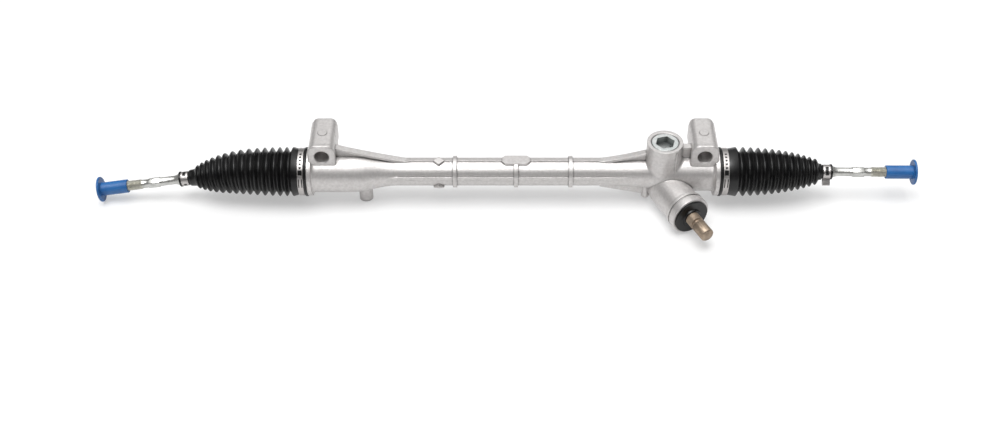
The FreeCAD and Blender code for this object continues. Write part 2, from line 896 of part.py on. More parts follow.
def bearing_balls():
    """The balls between the two rings."""
    middle = (bearing_bore_radius + bearing_outer_radius) / 2
    balls = []
    for index in range(bearing_ball_count):
        angle = 2 * math.pi * index / bearing_ball_count
        ball = Part.makeSphere(bearing_ball_radius)
        ball.translate(Vector(
            middle * math.cos(angle), middle * math.sin(angle), pinion_cavity_end + bearing_width / 2,
        ))
        balls.append(on_pinion(ball))
    return Part.makeCompound(balls)


def bearing_plug():
    """The ring nut that holds the bearing, with a seat for the oil seal and two spanner slots."""
    start = plug_start() + face_gap
    end = plug_start() + plug_length
    outer = bearing_outer_radius + plug_thread - seat_gap
    race = bearing_outer_radius - bearing_race_wall
    seat = end - seal_width - plug_seat_gap
    plug = turned([
        (start, race),
        (start, outer),
        (end, outer),
        (end, seal_outer_radius + seat_gap),
        (seat, seal_outer_radius + seat_gap),
        (seat, seal_outer_radius - plug_step),
        (start + plug_face, seal_outer_radius - plug_step),
        (start + plug_face, race),
    ])
    middle = (outer + seal_outer_radius) / 2
    for side in (-1, 1):
        slot = Part.makeBox(
            plug_slot, plug_slot, plug_slot,
            Vector(side * middle - plug_slot / 2, -plug_slot / 2, end - plug_slot / 2),
        )
        plug = plug.cut(on_pinion(slot))
    return plug


def pinion_seal():
    """The oil seal: a ring with a lip on the shaft."""
    end = plug_start() + plug_length
    start = end - seal_width
    lip = shaft_radius + running_gap
    return turned([
        (start, seal_outer_radius - seal_lip), (start, seal_outer_radius), (end, seal_outer_radius),
        (end, lip + seal_lip), (end - seal_lip, lip), (end - seal_lip - 1, lip),
        (end - seal_lip - 1, seal_outer_radius - seal_lip),
    ])


def dust_cover():
    """The rubber cover over the tower's end: a flange, a skirt into the tower and a raised hub."""
    face = tower_end + face_gap
    top = face + cover_wall
    skirt = cover_radius - cover_wall - 2 * face_gap
    inner = skirt - cover_skirt_wall
    hub = shaft_radius + running_gap
    rim = hub + cover_hub_wall
    return turned([
        (face, cover_radius), (top, cover_radius), (top, rim + 1),
        (top + cover_hub_rise, rim), (top + cover_hub_rise, hub), (top, hub),
        (top - 1, hub + 1), (face, hub + 1),
        (face, inner), (face - cover_skirt_length, inner), (face - cover_skirt_length, skirt), (face, skirt),
    ])


def rack_guide():
    """The sliding guide with a saddle for the rack below and a pocket for the spring above."""
    body = Part.makeCylinder(
        guide_radius - running_gap, guide_top + guide_saddle_depth,
        Vector(pinion_place, 0, -guide_saddle_depth), Vector(0, 0, 1),
    )
    start = pinion_place - guide_radius - 1
    end = pinion_place + guide_radius + 1
    saddle = bar(rack_radius + liner_wall + 2 * running_gap, start, end)
    pocket = Part.makeCylinder(
        spring_pocket_radius, guide_top, Vector(pinion_place, 0, spring_pocket_floor), Vector(0, 0, 1),
    )
    below = slab((start, -guide_radius, -guide_saddle_depth - 1), (end, guide_radius, 0))
    skirt = bar(guide_radius + 1, start, end)
    return body.cut(saddle).cut(below.common(skirt)).cut(pocket)


def guide_liner():
    """The thin liner between the guide's saddle and the rack."""
    inner = rack_radius + running_gap
    start = pinion_place - liner_length / 2
    end = pinion_place + liner_length / 2
    shell = tube(inner + liner_wall, inner, start, end)
    reach = inner + liner_wall + 1
    return shell.common(slab((start, -reach, liner_edge), (end, reach, reach)))


def guide_springs():
    """The stack of disc springs under the plug, set mouth to mouth."""
    low = spring_pocket_floor + running_gap
    high = guide_plug_bottom - running_gap
    each = (high - low) / spring_count
    rise = each - spring_wall
    wall = spring_wall - running_gap
    discs = []
    for index in range(spring_count):
        base = low + index * each
        inner_rise = rise if index % 2 == 0 else 0.0
        outer_rise = rise - inner_rise
        corners = [
            Vector(spring_hole_radius, 0, base + inner_rise),
            Vector(spring_radius, 0, base + outer_rise),
            Vector(spring_radius, 0, base + outer_rise + wall),
            Vector(spring_hole_radius, 0, base + inner_rise + wall),
        ]
        face = Part.Face(Part.makePolygon(corners + [corners[0]]))
        disc = face.revolve(Vector(0, 0, 0), Vector(0, 0, 1), 360)
        disc.translate(Vector(pinion_place, 0, 0))
        discs.append(disc)
    return Part.makeCompound(discs)


def guide_plug():
    """The threaded plug over the springs, with a hexagon socket."""
    top = guide_plug_bottom + guide_plug_length
    inner = guide_plug_radius - guide_plug_chamfer
    outline = [
        (0, guide_plug_bottom),
        (guide_plug_radius, guide_plug_bottom),
        (guide_plug_radius, top - guide_plug_chamfer),
        (inner, top), (0, top),
    ]
    corners = [Vector(radius, 0, height) for radius, height in outline]
    face = Part.Face(Part.makePolygon(corners + [corners[0]]))
    plug = face.revolve(Vector(0, 0, 0), Vector(0, 0, 1), 360)
    corner = hex_across_flats / 2 / math.cos(math.pi / 6)
    corners = []
    for index in range(7):
        angle = math.pi / 3 * index + math.pi / 12
        corners.append(Vector(corner * math.cos(angle), corner * math.sin(angle), top - hex_depth))
    socket = Part.Face(Part.makePolygon(corners)).extrude(Vector(0, 0, hex_depth + 1))
    plug = plug.cut(socket)
    plug.translate(Vector(pinion_place, 0, 0))
    return plug


def bush_start():
    """The inner end of the pocket that holds the rack bush."""
    return end_pocket_depth - housing_half + face_gap


def rack_bush():
    """The plastic bush that carries the rack's plain end, split along its length."""
    start = bush_start() + bush_ring_width
    end = start + bush_length - face_gap
    ring = tube(bush_outer_radius(), rack_radius + running_gap, start, end)
    reach = bush_outer_radius() + 1
    return ring.cut(slab((start - 1, -bush_split / 2, 0), (end + 1, bush_split / 2, reach)))


def bush_ring():
    """The wire ring that keeps the bush in."""
    start = bush_start()
    end = start + bush_ring_width - face_gap
    outer = bush_outer_radius()
    ring = tube(outer, outer - bush_wall, start, end)
    return ring.cut(slab((start - 1, -ring_split / 2, -outer - 1), (end + 1, ring_split / 2, 0)))


def droop(side):
    """How far one tie rod hangs below the rack's line, in degrees."""
    return left_droop if side < 0 else right_droop


def ball_centre(side):
    """The centre of one ball joint with the rack as it lies."""
    return Vector(side * ball_place + rack_shift, 0, 0)


def lean(side):
    """How far one tie rod's hanging plane leans towards the viewer, in degrees."""
    return left_lean if side < 0 else right_lean


def outward(shape, side, hang=0.0):
    """Place a shape drawn outwards from a ball's centre, on one side, hanging by some degrees."""
    placed = shape.copy()
    if side < 0:
        placed.rotate(Vector(0, 0, 0), Vector(0, 0, 1), 180)
    placed.rotate(Vector(0, 0, 0), Vector(0, 1, 0), side * hang)
    if hang:
        placed.rotate(Vector(0, 0, 0), Vector(1, 0, 0), lean(side))
    placed.translate(ball_centre(side))
    return placed


def ball_socket(side):
    """The ball joint's socket, screwed into the rack's end, with two spanner flats."""
    body = lathe([
        (-socket_back - socket_stud_length, 0),
        (-socket_back - socket_stud_length, socket_stud_radius),
        (-socket_back, socket_stud_radius),
        (-socket_back, socket_radius),
        (0, socket_radius),
        (socket_nose - 1, socket_nose_radius),
        (socket_nose, socket_nose_radius - 1),
        (socket_nose, 0),
    ])
    body = body.cut(Part.makeSphere(cup_radius))
    for way in (-1, 1):
        flat = slab(
            (-socket_back - 1, socket_flat / 2, -socket_radius - 1),
            (-flat_end, socket_radius + 1, socket_radius + 1),
        )
        if way < 0:
            flat = flat.mirror(Vector(0, 0, 0), Vector(0, 1, 0))
        body = body.cut(flat)
    return outward(body, side)


def ball_seat(side):
    """The plastic seat round the ball: a zone of a hollow sphere."""
    outer = ball_radius + seat_wall
    shell = Part.makeSphere(outer).cut(Part.makeSphere(ball_radius + ball_gap / 2))
    reach = outer + 1
    zone = slab((-ball_radius * seat_share, -reach, -reach), (socket_nose - 1, reach, reach))
    return outward(shell.common(zone), side)


def claw_washer(side):
    """The stop washer between the rack's shoulder and the ball socket, with two tabs over the flats."""
    back = -socket_back
    washer = tube(washer_radius, socket_stud_radius + stud_gap, back - washer_width, back - running_gap)
    low = socket_flat / 2 + stud_gap
    for way in (-1, 1):
        tab = slab((back - 1, low, -tab_width / 2), (back + tab_length, low + tab_wall, tab_width / 2))
        if way < 0:
            tab = tab.mirror(Vector(0, 0, 0), Vector(0, 1, 0))
        washer = washer.fuse(tab)
    return outward(washer.removeSplitter(), side)


def tie_rod(side):
    """The tie rod with its ball, boot groove, flare, spanner flats and threaded end."""
    groove_end = boot_groove_place + boot_groove_length
    flare_end = groove_end + flare_length
    neck_start = math.sqrt(ball_radius ** 2 - neck_radius ** 2) - 1
    neck_end = ball_radius + neck_length
    shank = lathe([
        (neck_start, 0),
        (neck_start, neck_radius),
        (neck_end, neck_radius),
        (neck_end + shoulder_cone, shank_radius + shank_step),
        (boot_groove_place - shank_step, shank_radius + shank_step),
        (boot_groove_place, boot_groove_radius),
        (groove_end, boot_groove_radius),
        (groove_end, flare_radius),
        (groove_end + flare_rim, flare_radius),
        (flare_end, shank_radius),
        (thread_start, shank_radius),
        (thread_start + thread_run_in, thread_radius),
        (thread_end - thread_chamfer, thread_radius),
        (thread_end, thread_radius - thread_chamfer),
        (thread_end, 0),
    ])
    half = rod_flat_width / 2
    hexagon = []
    for index in range(7):
        angle = math.pi / 3 * index
        reach = half / math.cos(math.pi / 6)
        hexagon.append(Vector(rod_flat_place, reach * math.cos(angle), reach * math.sin(angle)))
    flats = Part.Face(Part.makePolygon(hexagon)).extrude(Vector(rod_flat_length, 0, 0))
    ball = Part.makeSphere(ball_radius)
    return outward(join([ball, shank, flats]), side, droop(side))


def thread_cap(side):
    """The plastic cap over the tie rod's thread, closed by a round flange."""
    bore = thread_radius + cap_gap
    flange = cap_end - cap_flange_width
    cap = lathe([
        (cap_start, bore),
        (cap_start, cap_radius - cap_edge),
        (cap_start + cap_edge, cap_radius),
        (flange, cap_radius),
        (flange, cap_flange_radius - cap_edge),
        (flange + cap_edge, cap_flange_radius),
        (cap_end - cap_edge, cap_flange_radius),
        (cap_end, cap_flange_radius - cap_edge),
        (cap_end, 0),
        (thread_end + cap_gap, 0),
        (thread_end + cap_gap, bore),
    ])
    return outward(cap, side, droop(side))


def boot_centre(side, reach):
    """A point of the boot's middle line and its slope, seen from the tie rod's own frame."""
    hang = math.radians(droop(side))
    span = boot_bend_reach
    if reach >= span:
        return Vector(reach, 0, 0), 0.0
    if reach <= -span:
        return Vector(reach * math.cos(hang), 0, reach * math.sin(hang)), -hang
    bend = 2 * span / hang
    slope = -hang * (span - reach) / (2 * span)
    return Vector(span + bend * math.sin(slope), 0, bend * (math.cos(slope) - 1)), slope


def boot_ring(side, reach, radius):
    """One circle of the boot, square to its middle line."""
    point, slope = boot_centre(side, reach)
    ring = Part.makeCircle(radius, Vector(0, 0, 0), Vector(1, 0, 0))
    ring.rotate(Vector(0, 0, 0), Vector(0, 1, 0), math.degrees(slope))
    ring.translate(point)
    return Part.Wire(ring)


def fold_rings(side):
    """The reach and radius of every crest and root of the boot's folds."""
    offset = side * rack_shift
    start = first_fold_place - ball_place - offset
    end = last_fold_reaches[side]
    small = boot_small_radii[side]
    rings = []
    for index in range(fold_counts[side]):
        share = index / (fold_counts[side] - 1)
        spread = share * (1 + (1 - share) * (fold_leads[side] + fold_skews[side] * share))
        reach = start + (end - start) * spread
        crest = small + (boot_big_radius - small) * (1 - share ** boot_taper_powers[side])
        depth = fold_depth + (fold_depth_small - fold_depth) * share
        rings.append((reach, crest, depth))
    return rings


def boot_base(side):
    """The reach of the boot's big end, behind the ball's centre."""
    return shoulder_place + shoulder_width + skin_gap - ball_place - side * rack_shift


def boot(side):
    """The folded rubber boot from the housing's spigot to the tie rod's groove."""
    base = boot_base(side)
    lip = base + lip_width
    cuff_end = lip + cuff_width
    end = boot_groove_place + boot_groove_length - boot_gap
    rings = fold_rings(side)
    outer = [(base, boot_big_radius), (lip, boot_big_radius)]
    outer.extend([(lip + cuff_step, cuff_radius), (cuff_end, cuff_radius)])
    inner = [(base, spigot_radius + boot_gap), (cuff_end, spigot_radius + boot_gap)]
    for index, (reach, crest, depth) in enumerate(rings):
        outer.append((reach, crest))
        if index + 1 < len(rings):
            after = rings[index + 1]
            root = min(crest, after[1]) - depth
            outer.append(((reach + after[0]) / 2, root))
            if index % 3 == 0:
                inner.append((reach, root - boot_wall))
    inner.append((rings[-1][0], rings[-1][1] - rings[-1][2] - boot_wall))
    last = small_band_place - lip_width
    outer.append((last, small_cuff_radius))
    outer.append((end, small_cuff_radius))
    inner.append((boot_groove_place + boot_gap, boot_groove_radius + boot_gap))
    inner.append((end, boot_groove_radius + boot_gap))
    skin = Part.makeLoft([boot_ring(side, *pair) for pair in outer], True, True)
    room = Part.makeLoft([boot_ring(side, *pair) for pair in inner], True, True)
    return outward(skin.cut(room), side, droop(side))


def big_band(side):
    """The steel band round the boot's big end, with its crimped ear."""
    inner = cuff_radius + skin_gap
    cuff = shoulder_place + shoulder_width + skin_gap + lip_width
    start = cuff + (cuff_width - big_band_width) / 2
    end = start + big_band_width
    band = tube(inner + band_wall, inner, start, end)
    ear = slab(
        (start + ear_inset, -band_ear_width / 2, inner),
        (end - ear_inset, band_ear_width / 2, inner + band_ear_height),
    )
    ear = ear.cut(bar(inner, start, end))
    ear.rotate(Vector(0, 0, 0), Vector(1, 0, 0), band_ear_turn)
    band = band.fuse(ear)
    if side < 0:
        band.rotate(Vector(0, 0, 0), Vector(0, 0, 1), 180)
        band.rotate(Vector(0, 0, 0), Vector(1, 0, 0), left_band_turn)
    return band.removeSplitter()


def small_band(side):
    """The spring steel band round the boot's small end, with its pinched ear."""
    inner = small_cuff_radius + skin_gap
    start = small_band_place
    end = start + small_band_width
    band = tube(inner + band_wall, inner, start, end)
    ear = slab(
        (start + ear_inset, -small_ear_width / 2, -inner - small_ear_height),
        (end - ear_inset, small_ear_width / 2, -inner),
    )
    ear = ear.cut(bar(inner, start, end))
    ear.rotate(Vector(0, 0, 0), Vector(1, 0, 0), small_ear_turns[side])
    return outward(band.fuse(ear).removeSplitter(), side, droop(side))


save("housing", housing())
save("rack_bar", rack_bar())
save("pinion_shaft", pinion_shaft())
save("pinion_needle_bearing", needle_bearing())
save("bearing_outer_ring", bearing_ring(bearing_outer_radius, bearing_outer_radius - bearing_race_wall))
save("bearing_inner_ring", bearing_ring(
    bearing_bore_radius + seat_gap, bearing_bore_radius + bearing_race_wall,
))
save("bearing_balls", bearing_balls())
save("bearing_circlip", turned_tube(
    shaft_radius + circlip_height, shaft_radius + seat_gap,
    plug_start() + circlip_width + face_gap, plug_start() + 2 * circlip_width,
))
save("bearing_plug", bearing_plug())
save("pinion_seal", pinion_seal())
save("pinion_dust_cover", dust_cover())
save("rack_guide", rack_guide())
save("guide_liner", guide_liner())
save("guide_springs", guide_springs())
save("guide_plug", guide_plug())
save("rack_bush", rack_bush())
save("bush_ring", bush_ring())
for name, side in (("left", -1), ("right", 1)):
    save(name + "_ball_socket", ball_socket(side))
    save(name + "_ball_seat", ball_seat(side))
    save(name + "_stop_washer", claw_washer(side))
    save(name + "_tie_rod", tie_rod(side))
    save(name + "_thread_cap", thread_cap(side))
    save(name + "_boot", boot(side))
    save(name + "_big_band", big_band(side))
    save(name + "_small_band", small_band(side))
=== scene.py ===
import bpy
import json
import math
from mathutils import Matrix, Vector


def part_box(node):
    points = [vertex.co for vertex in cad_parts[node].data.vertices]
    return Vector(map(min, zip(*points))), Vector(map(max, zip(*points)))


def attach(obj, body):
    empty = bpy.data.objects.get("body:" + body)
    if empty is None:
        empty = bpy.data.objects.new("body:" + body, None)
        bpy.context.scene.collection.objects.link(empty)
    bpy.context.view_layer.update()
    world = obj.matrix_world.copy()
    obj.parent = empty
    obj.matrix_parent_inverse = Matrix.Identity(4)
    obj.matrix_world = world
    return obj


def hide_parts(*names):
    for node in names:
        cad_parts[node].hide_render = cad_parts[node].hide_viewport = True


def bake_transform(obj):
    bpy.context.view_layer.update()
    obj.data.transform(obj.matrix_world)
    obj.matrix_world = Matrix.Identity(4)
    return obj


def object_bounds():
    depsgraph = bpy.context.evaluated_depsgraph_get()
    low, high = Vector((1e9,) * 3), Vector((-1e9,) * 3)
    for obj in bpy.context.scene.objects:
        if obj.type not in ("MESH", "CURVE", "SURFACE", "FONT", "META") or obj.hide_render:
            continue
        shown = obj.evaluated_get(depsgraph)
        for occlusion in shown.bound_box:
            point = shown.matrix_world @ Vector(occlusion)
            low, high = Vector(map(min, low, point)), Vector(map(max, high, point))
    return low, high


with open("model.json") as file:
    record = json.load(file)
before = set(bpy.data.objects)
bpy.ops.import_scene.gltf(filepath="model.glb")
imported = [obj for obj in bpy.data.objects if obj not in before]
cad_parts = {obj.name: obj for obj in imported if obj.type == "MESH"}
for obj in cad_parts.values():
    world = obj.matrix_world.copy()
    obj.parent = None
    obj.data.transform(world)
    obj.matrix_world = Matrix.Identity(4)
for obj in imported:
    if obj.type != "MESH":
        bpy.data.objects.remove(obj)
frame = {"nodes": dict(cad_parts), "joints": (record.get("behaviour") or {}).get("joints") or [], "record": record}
cad_box = [list(occlusion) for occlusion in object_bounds()]

MM = 0.001
joints = {joint["name"]: joint for joint in frame["joints"]}
nodes = frame["nodes"]

# The photograph's camera
CAMERA_ELEVATION = math.radians(41.0)
CAMERA_DISTANCE = 1.98
CAMERA_LENS = 51.6
CAMERA_SENSOR = 36.0
CAMERA_CLIP = (0.05, 30.0)
OBJECT_ABOVE_CENTRE = math.radians(2.016)
CAMERA_SIDE = -18.0 * MM

# Floor, sky and lamps; each lamp has a name, a place, a width and a power
WHITE = (1.0, 1.0, 1.0, 1.0)
FLOOR_GAP = 0.3 * MM
FLOOR_HALF = 12.0
FLOOR_COLOUR = (0.86, 0.86, 0.86, 1.0)
FLOOR_ROUGHNESS = 0.9
FLOOR_GLOW = 0.42
SKY_STRENGTHS = (0.04, 1.45)
SKY_HEIGHTS = (0.62, 0.97)
LAMPS = (
    ("key", (-0.3, -0.25, 1.9), math.radians(40.0), 2.4),
    ("back", (0.4, 1.2, 1.5), math.radians(60.0), 0.5),
)

# Bellows boots, with values for the left side, -1, and the right, 1
FOLD_COUNTS = {-1: 15, 1: 13}
FOLD_LEADS = {-1: -0.06, 1: 0.2}
FOLD_SKEWS = {-1: 0.45, 1: 0.0}
FIRST_FOLD_PLACES = {-1: 302.4 * MM, 1: 306.0 * MM}
LAST_FOLD_REACHES = {-1: 59.0 * MM, 1: 62.5 * MM}
BOOT_SMALL_RADII = {-1: 16.3 * MM, 1: 18.2 * MM}
BOOT_TAPER_POWERS = {-1: 2.5, 1: 2.0}
FOLD_STEPS = 12
FOLD_DEPTH = 6.8 * MM
FOLD_DEPTH_SMALL = 3.8 * MM
FOLD_POWER = 0.8
BOOT_BIG_RADIUS = 34.0 * MM
BOOT_BEND_REACH = 20.0 * MM
BOOT_WALL = 1.3 * MM
BOOT_COLUMNS = 96
BOOT_GAP = 0.35 * MM

# The boots' big ends: a lip beside the housing, then a cuff under the band
SPIGOT_BORE = 30.35 * MM
LIP_WIDTH = 3.5 * MM
LIP_EDGE_WIDTH = 0.5 * MM
LIP_EDGE_DROP = 0.6 * MM
LIP_STEP = 0.3 * MM
CUFF_RADIUS = 31.9 * MM
CUFF_WIDTH = 9.2 * MM
CUFF_SLACK = 0.1 * MM

# The boots' small ends; the outlines are steps in reach and radius, in millimetres
NECK_CUFF_RADIUS = 11.4 * MM
NECK_SHOULDER_REACH = 4.0 * MM
NECK_SHOULDER_RISE = 0.6 * MM
NECK_STEP = 2.2 * MM
SMALL_CUFF_RADIUS = 9.0 * MM
LAST_FOLD_OUTLINE = ((0.0, 0.0), (1.0, -0.8), (2.2, -2.6))
NECK_OUTLINE = ((-1.0, 0.0), (1.2, -0.3))
SMALL_LIP_OUTLINE = ((-2.9, 0.0), (-2.7, 1.6), (-0.6, 1.6), (-0.35, 1.0))

# Where the boots' three lengths meet, as reaches from the ball, and a reach on the last length whose point is
# worked out but not used
SWING_REACH = 5.0 * MM
LIFT_REACH = 17.5 * MM
LIFT_END = 55.0 * MM

# Bands round the boots; an opening has its two angles in degrees and the strips that it cuts
BAND_WALL = 0.85 * MM
BAND_GAP = 0.1 * MM
BAND_ROUNDING = 0.12 * MM
BAND_STEP = math.radians(4.0)
BAND_LEAST_STEP = math.radians(1.6)
BIG_BAND_STRIPS = (1.0, 1.3, 2.9, 1.3, 1.0)
BIG_BAND_WINDOWS = (93.0, 102.5, 112.0, 121.5, 131.0)
BIG_BAND_WINDOW_HALF = 2.4
BIG_BAND_OPENINGS = ((137.0, 149.0, (1, 2, 3)), (158.0, 182.0, (1, 3)))
SMALL_BAND_PLACE = 73.0 * MM
SMALL_BAND_WIDTH = 10.0 * MM
SMALL_BAND_STRIPS = (3.0, 4.0, 3.0)
SMALL_BAND_OPENINGS = {-1: ((62.0, 112.0, (1,)), (318.0, 352.0, (1,))), 1: ((94.0, 170.0, (1,)),)}

# The bands' pinched ears: angle, width and height, and an outline in shares of half width and height
BIG_BAND_EAR = (math.radians(-65.0), 9.0 * MM, 4.0 * MM)
SMALL_BAND_EARS = {
    -1: (math.radians(236.0), 4.4 * MM, 9.0 * MM),
    1: (math.radians(229.0), 4.4 * MM, 9.0 * MM),
}
EAR_GAP = 0.05
EAR_OUTLINE = (
    (-1.0, 0.0), (-0.86, 0.12), (-0.78, 0.3), (-0.72, 0.6), (-0.72, 0.86), (-0.5, 1.0),
    (0.5, 1.0), (0.72, 0.86), (0.72, 0.6), (0.78, 0.3), (0.86, 0.12), (1.0, 0.0),
)

# Serrated end of the pinion shaft
SERRATION_START = 98.0 * MM
SERRATION_END = 122.0 * MM
SERRATION_COUNT = 36
SERRATION_DEPTH = 0.8 * MM
SERRATION_HALF_WIDTH = 0.95 * MM
SERRATION_CLEARANCE = 0.5 * MM
SHAFT_END_RADIUS = 9.5 * MM

# Tie rods, from the ball outwards; the three ball shares are of its radius
BALL_RADIUS = 13.0 * MM
BALL_STEPS = 24
BALL_LAST_RING = 0.9
BALL_END = 0.92
NECK_FIRST_RING = 0.93
NECK_RADIUS = 5.0 * MM
NECK_END = BALL_RADIUS + 7.0 * MM
TAPER_END = BALL_RADIUS + 14.0 * MM
SHANK_RADIUS = 6.0 * MM
INNER_SHANK_RADIUS = SHANK_RADIUS + 1.0 * MM
GROOVE_PLACE = 71.5 * MM
GROOVE_END = 86.0 * MM
GROOVE_RADIUS = 6.5 * MM
GROOVE_EDGE = 0.05 * MM
FLARE_RADIUS = 8.6 * MM
FLARE_LENGTH = 8.0 * MM
FLARE_POWER = 1.6
FLARE_STEPS = 8
FLAT_PLACE = 113.0 * MM
FLAT_END = 131.0 * MM
FLAT_HALF = 6.5 * MM
FLAT_RUN = 1.5 * MM
FLAT_RINGS = (0.0, 0.8 * MM, 1.6 * MM)
THREAD_START = 139.0 * MM
THREAD_END = 193.0 * MM
THREAD_RADIUS = 7.0 * MM
THREAD_PITCH = 1.5 * MM
THREAD_STEPS = 6
THREAD_DEPTH = 0.95 * MM
THREAD_EDGE = 0.1 * MM
THREAD_RUN_IN = 3.0 * MM
THREAD_RUN_OUT = 1.5 * MM
THREAD_END_DROP = 1.0 * MM
LEAST_RADIUS = 0.1 * MM
ROD_COLUMNS = 48

# Finishes, with the values that surface() takes
FINISHES = {
    "cast_aluminium": {
        "colour": (0.64, 0.62, 0.61), "shade": (0.55, 0.53, 0.52), "metallic": 0.65, "roughness": 0.40,
        "spread": 0.06, "grain": 900.0, "bump": 0.9, "cloud": 260.0, "rounding": 1.2 * MM,
        # painted shade: the colour darkens within this reach of creases, steps and rib edges
        "painted_shade_reach": 2.6 * MM, "depth": 0.3 * MM,
    },
    "machined_aluminium": {
        "colour": (0.72, 0.73, 0.74), "shade": (0.58, 0.59, 0.60), "metallic": 0.9, "roughness": 0.3,
        "spread": 0.06, "grain": 1500.0, "bump": 0.2, "rounding": 0.4 * MM,
    },
    "ground_steel": {
        "colour": (0.60, 0.60, 0.61), "shade": (0.5, 0.5, 0.52), "metallic": 1.0, "roughness": 0.22,
        "spread": 0.05, "grain": 2500.0, "bump": 0.1,
    },
    "bronzed_steel": {
        "colour": (0.40, 0.315, 0.235), "shade": (0.27, 0.21, 0.16), "metallic": 0.7, "roughness": 0.5,
        "spread": 0.08, "grain": 1200.0, "bump": 0.3, "cloud": 120.0,
    },
    "bearing_steel": {
        "colour": (0.62, 0.63, 0.65), "shade": (0.55, 0.56, 0.58), "metallic": 1.0, "roughness": 0.15,
        "spread": 0.03, "grain": 2500.0, "bump": 0.05,
    },
    "spring_steel": {
        "colour": (0.25, 0.25, 0.26), "shade": (0.18, 0.18, 0.18), "metallic": 0.9, "roughness": 0.35,
        "spread": 0.05, "grain": 2000.0, "bump": 0.1,
    },
    "zinc_steel": {
        "colour": (0.62, 0.62, 0.60), "shade": (0.42, 0.42, 0.40), "metallic": 0.85, "roughness": 0.36,
        "spread": 0.08, "grain": 700.0, "bump": 0.5, "cloud": 90.0, "rounding": 0.4 * MM,
    },
    "band_steel": {
        "colour": (0.54, 0.52, 0.51), "shade": (0.44, 0.42, 0.41), "metallic": 1.0, "roughness": 0.43,
        "spread": 0.05, "grain": 1800.0, "bump": 0.1,
    },
    "bearing_plastic": {
        "colour": (0.82, 0.80, 0.72), "shade": (0.76, 0.73, 0.64), "metallic": 0.0, "roughness": 0.5,
        "spread": 0.05, "grain": 900.0, "bump": 0.1,
    },
    "blue_plastic": {
        "colour": (0.02, 0.13, 0.36), "shade": (0.015, 0.10, 0.30), "metallic": 0.0, "roughness": 0.42,
        "spread": 0.06, "grain": 500.0, "bump": 0.15, "cloud": 60.0, "rounding": 0.5 * MM,
    },
    "black_rubber": {
        "colour": (0.004, 0.004, 0.0043), "shade": (0.009, 0.0088, 0.0088), "metallic": 0.0,
        "roughness": 0.34, "spread": 0.06, "grain": 900.0, "bump": 0.3, "cloud": 80.0, "gloss": 0.38,
    },
    "thread_steel": {
        "colour": (0.56, 0.55, 0.49), "shade": (0.42, 0.41, 0.36), "metallic": 0.7, "roughness": 0.4,
        "spread": 0.06, "grain": 1200.0, "bump": 0.3, "cloud": 150.0,
    },
    "passivated_steel": {
        "colour": (0.80, 0.81, 0.80), "shade": (0.58, 0.62, 0.61), "metallic": 0.9, "roughness": 0.34,
        "spread": 0.07, "grain": 900.0, "bump": 0.5, "cloud": 200.0, "rounding": 0.4 * MM,
        # painted shade: the colour darkens within this reach of recesses, darkest inside the plug's socket
        "painted_shade_reach": 16.0 * MM,
    },
}
CLOUD_DETAIL = 6.0
CLOUD_ROUGHNESS = 0.6
GRAIN_DETAIL = 3.0
# Painted shade in creases and recesses: its samples, its darkest colour as a share of the second colour, and the
# occlusion range over which it fades in
PAINTED_SHADE_SAMPLES = 8
PAINTED_SHADE_SHARE = 0.22
PAINTED_SHADE_RANGE = (0.3, 0.95)
ROUNDING_SAMPLES = 6


def add(name, data):
    """A new object in the scene."""
    thing = bpy.data.objects.new(name, data)
    bpy.context.scene.collection.objects.link(thing)
    return thing


def add_mesh(name, points, faces):
    """A new mesh object in the scene."""
    mesh = bpy.data.meshes.new(name)
    mesh.from_pydata(points, [], faces)
    return add(name, mesh)


def deck(name, rows, closed=True):
    """A mesh from rings with equally many points, and caps on its first and last ring if closed."""
    count = len(rows[0])
    points = [point for row in rows for point in row]
    faces = []
    for row in range(len(rows) - 1):
        base = row * count
        for column in range(count):
            after = (column + 1) % count
            faces.append((base + column, base + after, base + count + after, base + count + column))
    if closed:
        faces.append(tuple(reversed(range(count))))
        faces.append(tuple(range(len(points) - count, len(points))))
    piece = add_mesh(name, points, faces)
    piece.data.validate()
    return piece


def settle(piece):
    """Keep a piece's mesh as its modifiers leave it."""
    result = piece.evaluated_get(bpy.context.evaluated_depsgraph_get())
    piece.data = bpy.data.meshes.new_from_object(result)
    piece.modifiers.clear()


def smooth(piece, angle):
    """Smooth shading that keeps edges sharper than an angle in degrees."""
    mesh = piece.data
    mesh.polygons.foreach_set("use_smooth", [True] * len(mesh.polygons))
    mesh.set_sharp_from_angle(angle=math.radians(angle))
    return piece


def paint(piece, material):
    """Give a piece one material in all its slots."""
    piece.data.materials.clear()
    piece.data.materials.append(material)
    return piece


def shader_noise(tree, source, scale, detail, rough=0.5):
    """One noise texture in the piece's own metres."""
    noise = tree.nodes.new("ShaderNodeTexNoise")
    noise.inputs["Scale"].default_value = scale
    noise.inputs["Detail"].default_value = detail
    noise.inputs["Roughness"].default_value = rough
    tree.links.new(source, noise.inputs["Vector"])
    return noise.outputs["Fac"]


def shader_range(tree, source, low, high, start=0.35, end=0.65):
    """Stretch a value from one range to another."""
    node = tree.nodes.new("ShaderNodeMapRange")
    node.inputs["From Min"].default_value = start
    node.inputs["From Max"].default_value = end
    node.inputs["To Min"].default_value = low
    node.inputs["To Max"].default_value = high
    tree.links.new(source, node.inputs["Value"])
    return node.outputs["Result"]


def shader_mix(tree, factor, first, second):
    """Mix two colours by a factor; each colour is a value or another node's output."""
    node = tree.nodes.new("ShaderNodeMix")
    node.data_type = "RGBA"
    tree.links.new(factor, node.inputs["Factor"])
    for socket, colour in ((node.inputs["A"], first), (node.inputs["B"], second)):
        if isinstance(colour, tuple):
            socket.default_value = (*colour, 1.0)
        else:
            tree.links.new(colour, socket)
    return node.outputs["Result"]


